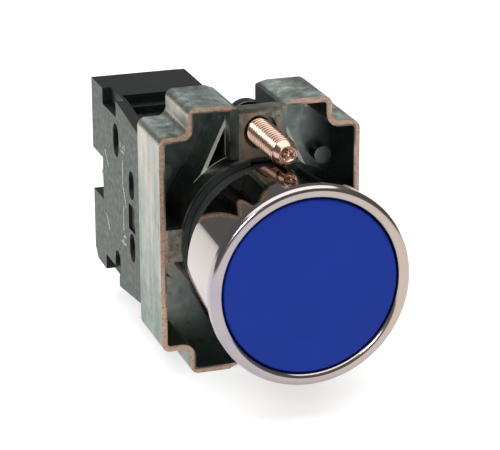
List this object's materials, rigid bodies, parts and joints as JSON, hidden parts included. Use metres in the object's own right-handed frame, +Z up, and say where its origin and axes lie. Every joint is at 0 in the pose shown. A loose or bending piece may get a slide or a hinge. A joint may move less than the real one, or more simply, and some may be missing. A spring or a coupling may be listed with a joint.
{
  "type": "panel push button",
  "caption": "Round flush momentary push button with a bright bezel, a die-cast panel clamp body and a screw-terminal contact block.",
  "frame": {"origin": "on the button's axis, in the plane of the panel's front face, where the panel gasket ends", "axes": "+Z up, -Y out of the panel towards the user, +Y into the cabinet along the button's axis, +X to the user's right"},
  "size_m": [0.03, 0.0603, 0.04],
  "materials": {
    "bezel_chrome": "bright plated, polished",
    "cap_blue": "satin moulded plastic",
    "black_plastic": "moulded",
    "black_rubber": "moulded rubber",
    "spring_steel": "drawn wire and strip",
    "zinc_body": "zinc die casting, passivated, satin",
    "copper_screw": "yellow-red passivated steel, rolled thread",
    "dark_plastic": "dark grey moulded plastic",
    "plated_steel": "zinc plated",
    "contact_brass": "stamped brass, silver tips"
  },
  "bodies": {
    "frame": {"mounting_body": "zinc_body", "bezel": "bezel_chrome", "barrel": "black_plastic", "panel_gasket": "black_rubber", "contact_housing": "dark_plastic", "contact_cover": "dark_plastic", "block_fixing_screw": "plated_steel", "top_terminal": "contact_brass", "bottom_terminal": "contact_brass"},
    "button": {"button_cap": "cap_blue", "plunger": "black_plastic", "plunger_seal": "black_rubber", "retaining_ring": "spring_steel", "return_spring": "spring_steel"},
    "contact_pin": {"contact_plunger": "black_plastic", "plunger_spring": "spring_steel"},
    "bridge": {"contact_bridge": "contact_brass", "contact_spring": "spring_steel"},
    "top_clamp": {"top_clamp_screw": "copper_screw"},
    "bottom_clamp": {"bottom_clamp_screw": "copper_screw"},
    "top_wire_grip": {"top_terminal_screw": "plated_steel", "top_wire_clamp": "plated_steel"},
    "bottom_wire_grip": {"bottom_terminal_screw": "plated_steel", "bottom_wire_clamp": "plated_steel"}
  },
  "joints": [
    {"name": "button_press", "type": "slide", "parent": "frame", "child": "button", "axis": [0, 1, 0], "range_m": [0, 0.0043], "stiffness_N_per_m": 900, "springref_m": -0.0025, "deforming": ["return_spring"]},
    {"name": "contact_pin_slide", "type": "slide", "parent": "frame", "child": "contact_pin", "axis": [0, 1, 0], "range_m": [0, 0.0043], "stiffness_N_per_m": 250, "springref_m": -0.002, "deforming": ["plunger_spring"]},
    {"name": "bridge_slide", "type": "slide", "parent": "frame", "child": "bridge", "axis": [0, 1, 0], "range_m": [0, 0.00237], "stiffness_N_per_m": 60, "deforming": ["contact_spring"]},
    {"name": "top_clamp_screw_run", "type": "slide", "parent": "frame", "child": "top_clamp", "axis": [0, 1, 0], "range_m": [-0.0013, 0.0105]},
    {"name": "bottom_clamp_screw_run", "type": "slide", "parent": "frame", "child": "bottom_clamp", "axis": [0, 1, 0], "range_m": [-0.0013, 0.0105]},
    {"name": "top_terminal_screw_run", "type": "slide", "parent": "frame", "child": "top_wire_grip", "axis": [0, -1, 0], "range_m": [0, 0.003]},
    {"name": "bottom_terminal_screw_run", "type": "slide", "parent": "frame", "child": "bottom_wire_grip", "axis": [0, -1, 0], "range_m": [0, 0.003]}
  ],
  "couplings": [
    {"joint": "contact_pin_slide", "follows": "button_press", "ratio": 1},
    {"joint": "bridge_slide", "follows": "button_press", "ratio": 0.55}
  ]
}
